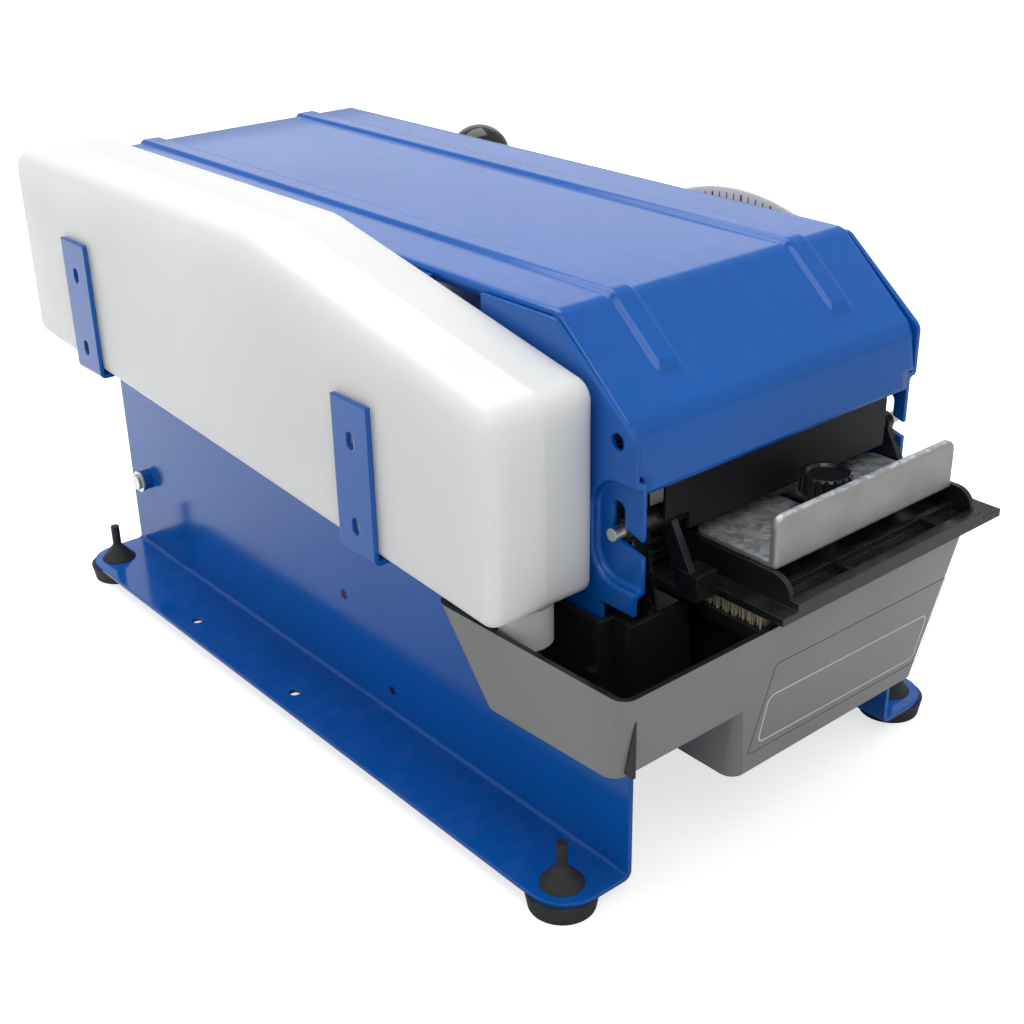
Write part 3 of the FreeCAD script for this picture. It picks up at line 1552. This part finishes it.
def pressure_arms():
    run = s.pressure_pivot_y - feed_y
    rise = s.pressure_pivot_z - pressure_z
    reach = root_of(run * run + rise * rise)
    side_y = rise / reach * s.pressure_arm_radius
    side_z = run / reach * s.pressure_arm_radius
    solids = []
    tools = []
    for side in (-1, 1):
        ends = outward(side, s.pressure_arm_x, arm_end)
        arm = new_body()
        slab(arm, "YZ_Plane", yz([
            (feed_y + side_y, pressure_z - side_z),
            (s.pressure_pivot_y + side_y, s.pressure_pivot_z - side_z),
            (s.pressure_pivot_y - side_y, s.pressure_pivot_z + side_z),
            (feed_y - side_y, pressure_z + side_z),
        ]), ends[0], s.pressure_arm_width)
        solids.append(arm)
        for y, z, bore in (
            (feed_y, pressure_z, axle_bore),
            (s.pressure_pivot_y, s.pressure_pivot_z, s.pressure_pivot_radius + s.fit_gap),
        ):
            solids.append(rod("X", s.pressure_arm_radius, ends[0], s.pressure_arm_width, y=y, z=z))
            tools.append(rod("X", bore, ends[0] - s.overrun, s.pressure_arm_width + s.overrun * 2, y=y, z=z))
    solids.append(rod("X", s.pressure_bridge_radius, -s.pressure_arm_x - s.fit_gap,
                      (s.pressure_arm_x + s.fit_gap) * 2,
                      y=(feed_y + s.pressure_pivot_y) / 2, z=(pressure_z + s.pressure_pivot_z) / 2))
    return keep(cut(joined(*solids), *tools), "pressure_arms")


pressure_arms()
chute_half = s.pressure_arm_x
keep(joined(
    block((-chute_half, chute_half), (s.chute_y, s.chute_y + s.chute_length + s.chute_sheet),
          (s.chute_z, s.chute_z + s.chute_sheet)),
    block((-chute_half, chute_half), (s.chute_y, s.chute_y + s.chute_sheet), (s.bed_top, s.chute_z)),
), "tape_chute")


# Gears: the lever turns a sector, which drives the feed roller through an idler
def tooth_angles(teeth, radius):
    """Half the angle of a tooth at a radius, by the involute of its base circle."""
    pitch_radius = SIZES["tooth_size"] * teeth / 2
    pressure = math.radians(SIZES["pressure_angle"])
    base = pitch_radius * math.cos(pressure)
    at_pitch = math.pi / (2 * teeth) - SIZES["tooth_backlash"] / (2 * pitch_radius)
    here = math.acos(min(1, base / radius))
    return at_pitch + math.tan(pressure) - pressure - math.tan(here) + here


def tooth(teeth, middle):
    """Points along one tooth, from its root on one side to its root on the other."""
    size = SIZES["tooth_size"]
    pitch_radius = size * teeth / 2
    base = pitch_radius * math.cos(math.radians(SIZES["pressure_angle"]))
    root = pitch_radius - size * SIZES["tooth_root_share"]
    tip = pitch_radius + size
    low = max(root, base)
    radii = [low + (tip - low) * step / (FLANK_POINTS - 1) for step in range(FLANK_POINTS)]
    flank = [(radius, tooth_angles(teeth, radius)) for radius in radii]
    if root < low:
        flank.insert(0, (root, flank[0][1]))
    polar = [(radius, middle - half) for radius, half in flank]
    polar += [(radius, middle + half) for radius, half in reversed(flank)]
    return [FreeCAD.Vector(0, radius * math.cos(angle), radius * math.sin(angle)) for radius, angle in polar]


def gear_shape(teeth, middle, start, bore, numbers, hub=None, boss=None):
    """A gear, or a sector of one where hub is given, with one tooth centred on middle."""
    points = []
    for number in numbers:
        points += tooth(teeth, middle + number * 2 * math.pi / teeth)
    if hub:
        points.append(FreeCAD.Vector(0, 0, 0))
    face = Part.Face(Part.makePolygon(points + points[:1]))
    width = SIZES["gear_width"]
    shape = face.extrude(FreeCAD.Vector(width, 0, 0))
    along = FreeCAD.Vector(1, 0, 0)
    length = width
    if hub:
        shape = shape.fuse(Part.makeCylinder(hub, width, FreeCAD.Vector(0, 0, 0), along))
        length = boss[1] - start
        shape = shape.fuse(Part.makeCylinder(boss[0], length, FreeCAD.Vector(0, 0, 0), along))
    shape = shape.cut(Part.makeCylinder(bore, length, FreeCAD.Vector(0, 0, 0), along))
    shape.translate(FreeCAD.Vector(start, 0, 0))
    return shape


def gear(label, shape, y, z):
    item = doc.addObject("Part::Feature", "Gear")
    item.Shape = shape
    return keep(place(item, 0, y, z), label)


first_mesh = math.radians(SIZES["first_mesh_angle"])
second_mesh = math.radians(SIZES["second_mesh_angle"])
sector_step = 360 / TEETH["sector"]
ahead = round(SIZES["sector_lead_angle"] / sector_step)
behind = round((SIZES["sector_span_angle"] - SIZES["sector_lead_angle"]) / sector_step)
spacer_radius = s.lever_shaft_radius + s.bush_wall
gear("sector_gear", gear_shape(
    TEETH["sector"], first_mesh, sector_x.value, lever_bore.value, range(-behind, ahead + 1),
    SIZES["sector_hub_radius"], (spacer_radius.value, lever_x.value)), s.lever_y, s.lever_z)
gear("idler_pinion", gear_shape(
    TEETH["idler_pinion"], first_mesh + math.pi + math.pi / TEETH["idler_pinion"],
    sector_x.value, idler_bore.value, range(TEETH["idler_pinion"])), idler_y, idler_z)
gear("idler_gear", gear_shape(
    TEETH["idler_gear"], second_mesh, idler_gear_x.value, idler_bore.value,
    range(TEETH["idler_gear"])), idler_y, idler_z)
gear("feed_pinion", gear_shape(
    TEETH["feed_pinion"], second_mesh + math.pi + math.pi / TEETH["feed_pinion"],
    idler_gear_x.value, feed_bore.value, range(TEETH["feed_pinion"])), feed_y, feed_z)
idler_start = idler_gear_x - s.fit_gap
idler_end = sector_x + s.gear_width + s.fit_gap
keep(rod("X", s.idler_shaft_radius, idler_start, idler_end - idler_start, y=idler_y, z=idler_z),
     "idler_shaft")


# Lever with its shaft, spacer, nut and ball knob
collar_radius = s.lever_bush_radius - s.fit_gap
lever_outer = lever_x + s.lever_sheet
shaft_end = lever_outer + s.lever_nut_height + s.touch_gap
keep(turned([
    (lever_shaft_inner_x, 0),
    (lever_shaft_inner_x, collar_radius),
    (lever_bush_inner_x - s.touch_gap, collar_radius),
    (lever_bush_inner_x - s.touch_gap, s.lever_shaft_radius),
    (shaft_end, s.lever_shaft_radius),
    (shaft_end, 0),
], "X", 0, s.lever_y, s.lever_z), "lever_shaft")


def lever_arm():
    body = new_body()
    tip = s.lever_half_width * s.lever_tip_share
    slab(body, "YZ_Plane", [
        (0, -s.lever_half_width),
        (s.lever_length, -tip),
        (s.lever_length, tip),
        (0, s.lever_half_width),
    ], lever_x, s.lever_sheet)
    for along, radius in ((0, s.lever_hub_radius), (s.lever_length, tip)):
        drawing = sketch_on(body, "YZ_Plane", lever_x)
        circle(drawing, along, 0, radius)
        extrude(body, drawing, s.lever_sheet)

    def draw_bores(drawing):
        circle(drawing, 0, 0, lever_bore)
        circle(drawing, s.lever_length, 0, s.lever_knob_stud_radius + s.fit_gap)

    pocket_through(body, "YZ_Plane", draw_bores, lever_x - s.overrun, s.lever_sheet + s.overrun * 2)
    body.Placement.Rotation = FreeCAD.Rotation(FreeCAD.Vector(1, 0, 0), SIZES["lever_angle"])
    body.setExpression("Placement.Rotation.Angle", s.lever_angle.formula)
    return keep(place(body, 0, s.lever_y, s.lever_z), "lever_arm")


lever_arm()
nut = doc.addObject("Part::Prism", "Nut")
nut.Polygon = 6
bind(nut, "Circumradius", s.lever_nut_radius)
bind(nut, "Height", s.lever_nut_height)
nut.Placement.Rotation = FreeCAD.Rotation(FreeCAD.Vector(0, 1, 0), 90)
place(nut, lever_outer, s.lever_y, s.lever_z)
keep(cut(nut, rod("X", lever_bore, lever_outer - s.overrun, s.lever_nut_height + s.overrun * 2,
                  y=s.lever_y, z=s.lever_z)), "lever_nut")
knob_y = s.lever_y + s.lever_length * cos_of(s.lever_angle)
knob_z = s.lever_z + s.lever_length * sin_of(s.lever_angle)
ball_x = side_reach - s.lever_knob_radius
ball = doc.addObject("Part::Sphere", "Ball")
bind(ball, "Radius", s.lever_knob_radius)
place(ball, ball_x, knob_y, knob_z)
ball_face = lever_outer + s.lever_knob_neck
keep(joined(
    cut(
        ball,
        block((ball_face - s.lever_knob_radius, ball_face),
              (knob_y - s.lever_knob_radius, knob_y + s.lever_knob_radius),
              (knob_z - s.lever_knob_radius, knob_z + s.lever_knob_radius)),
    ),
    rod("X", s.lever_knob_stud_radius, lever_x, ball_x - lever_x, y=knob_y, z=knob_z),
), "lever_knob")


# Gear cover and the length dial that the lever sweeps over
def gear_cover():
    body = new_body()

    def corners(by):
        low_y, high_y = s.gear_cover_front_y + by, s.gear_cover_rear_y - by
        low_z, high_z = s.gear_cover_bottom + by, s.gear_cover_top - by
        return [(low_y, low_z), (high_y, low_z), (high_y, high_z), (low_y, high_z)]

    wall = s.gear_cover_wall
    slab(body, "YZ_Plane", yz(corners(as_size(0))), outer_x, s.gear_cover_depth)
    pocket_through(body, "YZ_Plane", lambda drawing: polygon(drawing, yz(corners(wall))),
                   outer_x, s.gear_cover_depth - wall)
    round_edges(body, corner_edges(0, yz(corners(wall))), s.gear_cover_round - wall)
    round_edges(body, corner_edges(0, yz(corners(as_size(0)))), s.gear_cover_round)
    posts = [
        rod("X", s.screw_head_radius, outer_x, s.gear_cover_depth - wall / 2, y=y, z=z)
        for y, z in gear_cover_screws()
    ]
    tools = [rod("X", spacer_radius + s.touch_gap, outer_x, s.gear_cover_depth + s.overrun,
                 y=s.lever_y, z=s.lever_z)]
    tools += [
        rod("X", screw_hole, outer_x - s.overrun, s.gear_cover_depth + s.overrun * 2, y=y, z=z)
        for y, z in gear_cover_screws()
    ]
    return keep(cut(joined(body, *posts), *tools), "gear_cover")


gear_cover()
cover_face = outer_x + s.gear_cover_depth


def length_dial():
    body = new_body()
    drawing = sketch_on(body, "YZ_Plane")
    circle(drawing, 0, 0, s.dial_radius)
    circle(drawing, 0, 0, s.dial_inner_radius)
    extrude(body, drawing, s.dial_sheet)
    reach = s.dial_radius + s.overrun
    outside = [
        (0, 0),
        (reach * cos_of(s.dial_span_angle), reach * sin_of(s.dial_span_angle)),
        (-reach, reach * sin_of(s.dial_span_angle)),
        (-reach, -reach),
        (reach, -reach),
        (reach, 0),
    ]
    pocket_through(body, "YZ_Plane", lambda drawing: polygon(drawing, outside), 0, s.dial_sheet)
    body.Placement.Rotation = FreeCAD.Rotation(FreeCAD.Vector(1, 0, 0), SIZES["dial_low_angle"])
    body.setExpression("Placement.Rotation.Angle", s.dial_low_angle.formula)
    place(body, cover_face, s.lever_y, s.lever_z)
    tools = [
        rod("X", s.screw_head_radius + s.touch_gap, cover_face - s.overrun, s.overrun * 2, y=y, z=z)
        for y, z in gear_cover_screws()
    ]
    return keep(cut(body, *tools), "length_dial")


length_dial()


# Basket for the roll of tape: a tray with two rollers, hung on the guide rods
support_y = (
    (s.guide_rod_front_y + s.guide_rod_rear_y) / 2 - s.support_roller_spread,
    (s.guide_rod_front_y + s.guide_rod_rear_y) / 2 + s.support_roller_spread,
)
rod_places = [(y, s.guide_rod_z) for y in (s.guide_rod_front_y, s.guide_rod_rear_y)]
basket_y = (s.guide_rod_front_y - s.basket_margin, s.guide_rod_rear_y + s.basket_margin)
basket_bores = [
    rod("X", s.guide_rod_radius + s.fit_gap, -outer_x, s.frame_width, y=y, z=z) for y, z in rod_places
] + [
    rod("X", s.support_axle_radius + s.fit_gap, -outer_x, s.frame_width, y=y, z=s.support_axle_z)
    for y in support_y
]
keep(cut(joined(
    block((-basket_half_width, basket_half_width), basket_y,
          (s.basket_bottom, s.basket_bottom + s.basket_sheet)),
    *[
        block(outward(side, basket_half_width - s.basket_sheet, basket_half_width), basket_y,
              (s.basket_bottom, s.basket_top))
        for side in (-1, 1)
    ],
), *basket_bores), "roll_basket")
for y, end_name in zip(support_y, ("front", "rear")):
    half = basket_half_width - s.basket_sheet - s.touch_gap
    bore = s.support_axle_radius + s.fit_gap
    keep(turned([
        (-half, bore), (half, bore),
        (half, s.support_roller_radius), (-half, s.support_roller_radius),
    ], "X", 0, y, s.support_axle_z), f"support_roller_{end_name}")
keep(grouped(*[
    rod("X", s.support_axle_radius, -basket_half_width, basket_half_width * 2,
        y=y, z=s.support_axle_z)
    for y in support_y
]), "support_axles")


def tape_guide(side, side_name):
    """A side guide that slides on the two rods to suit the width of the tape."""
    face = outward(side, s.guide_x, s.guide_x + s.guide_sheet)
    boss = outward(side, s.guide_x, s.guide_x + s.guide_boss_length)
    body = new_body()
    slab(body, "YZ_Plane", yz([
        (s.guide_rod_front_y - s.guide_boss_radius, s.guide_bottom),
        (s.guide_rod_front_y - s.guide_boss_radius, s.guide_rod_z),
        (s.guide_rod_front_y + s.guide_boss_radius, s.guide_rod_z),
        (s.guide_rod_front_y + s.guide_boss_radius, s.guide_bottom),
        (s.guide_rod_rear_y - s.guide_boss_radius, s.guide_bottom),
        (s.guide_rod_rear_y - s.guide_boss_radius, s.guide_rod_z),
        (s.guide_rod_rear_y + s.guide_boss_radius, s.guide_rod_z),
        (s.guide_rod_rear_y + s.guide_boss_radius, s.guide_bottom),
        (s.guide_rod_rear_y - s.guide_boss_radius, s.guide_top),
        (s.guide_rod_front_y + s.guide_boss_radius, s.guide_top),
    ]), face[0], s.guide_sheet)
    bosses = [
        rod("X", s.guide_boss_radius, boss[0], s.guide_boss_length, y=y, z=z) for y, z in rod_places
    ]
    tools = [
        rod("X", s.guide_rod_radius + s.fit_gap, boss[0] - s.overrun,
            s.guide_boss_length + s.overrun * 2, y=y, z=z)
        for y, z in rod_places
    ]
    tools.append(rod("X", s.guide_hole_radius, face[0] - s.overrun, s.guide_sheet + s.overrun * 2,
                     y=(s.guide_rod_front_y + s.guide_rod_rear_y) / 2,
                     z=(s.guide_bottom + s.guide_top) / 2))
    return keep(cut(joined(body, *bosses), *tools), f"tape_guide_{side_name}")


tape_guide(-1, "left")
tape_guide(1, "right")


# Check everything, then write one file for each sub-part
doc.recompute()
for item in doc.Objects:
    if "Invalid" in item.State or "Error" in item.State:
        raise RuntimeError(f"{item.Name} ({item.Label}) did not compute: {item.State}")
for item in parts:
    if item.Shape.isNull() or not item.Shape.isValid():
        raise RuntimeError(f"{item.Label} has no valid shape")
os.makedirs("parts", exist_ok=True)
for item in parts:
    item.Shape.exportStep(f"parts/{item.Label}.step")
print(f"wrote {len(parts)} sub-parts")
